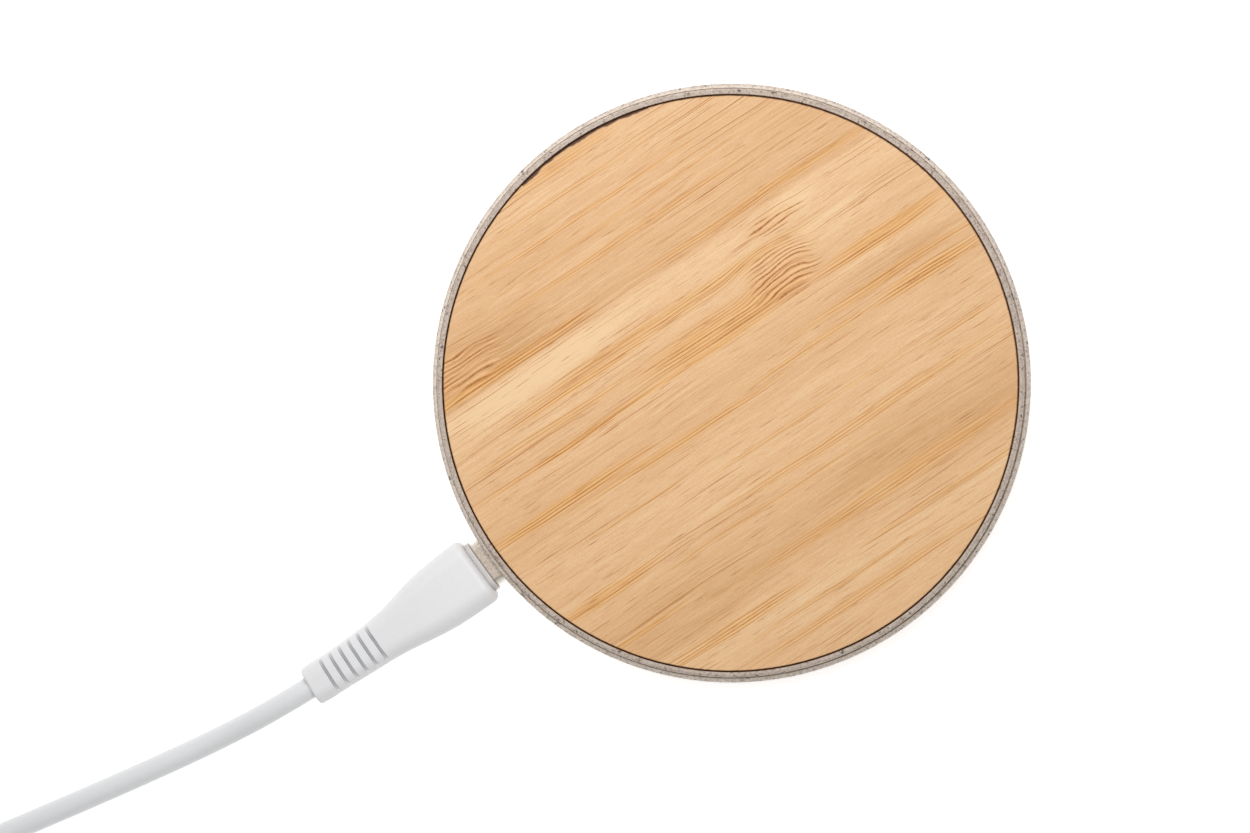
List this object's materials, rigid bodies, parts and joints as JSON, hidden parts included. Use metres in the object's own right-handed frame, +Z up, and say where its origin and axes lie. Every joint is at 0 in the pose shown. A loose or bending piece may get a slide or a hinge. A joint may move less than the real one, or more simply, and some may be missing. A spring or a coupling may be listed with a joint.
{
  "type": "wireless charging pad",
  "caption": "Round flat wireless charging pad with a bamboo top set in a speckled composite housing, and a detachable white USB cable in its side port.",
  "frame": {"origin": "centre of the pad's footprint, on the surface that its rubber feet stand on", "axes": "+Z up along the pad's axis through the charging face; the cable port faces -X and the cable leaves along -X"},
  "size_m": [0.2556, 0.1038, 0.0113],
  "materials": {
    "bamboo": "satin clear-sealed bamboo, fine straight grain",
    "straw_composite": "matt beige-grey wheat-straw composite with fine dark flecks",
    "adhesive": "thin double-sided adhesive film",
    "foot_rubber": "matt black rubber",
    "screw_steel": "zinc-plated steel",
    "coil_wire": "enamelled copper litz wire",
    "lead_sleeve": "thin insulating sleeve",
    "ferrite": "dark grey sintered ferrite",
    "sensor_epoxy": "black epoxy bead and wires",
    "board": "green solder mask",
    "chip_black": "moulded epoxy",
    "capacitor_ceramic": "tan ceramic with tinned ends",
    "resistor_black": "black film on white ceramic",
    "inductor_ferrite": "grey ferrite drum core",
    "plated_steel": "nickel-plated steel",
    "insulator_black": "black glass-filled insulator",
    "gold_contact": "gold-flashed copper alloy",
    "white_elastomer": "satin white soft overmould",
    "cord_jacket": "satin white cable jacket",
    "insulator_white": "white moulded insulator",
    "tie_black": "black hook-and-loop strap"
  },
  "bodies": {
    "pad": {"bamboo_inlay": "bamboo", "inlay_adhesive": "adhesive", "top_shell": "straw_composite", "base_shell": "straw_composite", "rubber_feet": "foot_rubber", "housing_screws": "screw_steel", "transmitter_coil": "coil_wire", "coil_leads": "lead_sleeve", "coil_adhesive": "adhesive", "ferrite_shield": "ferrite", "thermistor": "sensor_epoxy", "circuit_board": "board", "controller_chip": "chip_black", "driver_chip": "chip_black", "power_mosfets": "chip_black", "resonant_capacitors": "capacitor_ceramic", "filter_capacitors": "capacitor_ceramic", "resistors": "resistor_black", "inductor": "inductor_ferrite", "usb_socket_shell": "plated_steel", "usb_socket_tongue": "insulator_black", "usb_socket_contacts": "gold_contact"},
    "cable": {"plug_shell": "plated_steel", "plug_insulator": "insulator_black", "plug_contacts": "gold_contact", "plug_collar": "white_elastomer", "plug_overmould": "white_elastomer", "cord": "cord_jacket", "cord_coil": "cord_jacket", "cord_tail": "cord_jacket", "coil_tie": "tie_black", "usb_a_overmould": "white_elastomer", "usb_a_shell": "plated_steel", "usb_a_tongue": "insulator_white", "usb_a_contacts": "gold_contact"}
  },
  "joints": [
    {"name": "cable_plug", "type": "slide", "parent": "pad", "child": "cable", "axis": [-1, 0, 0], "range_m": [0, 0.009]}
  ]
}
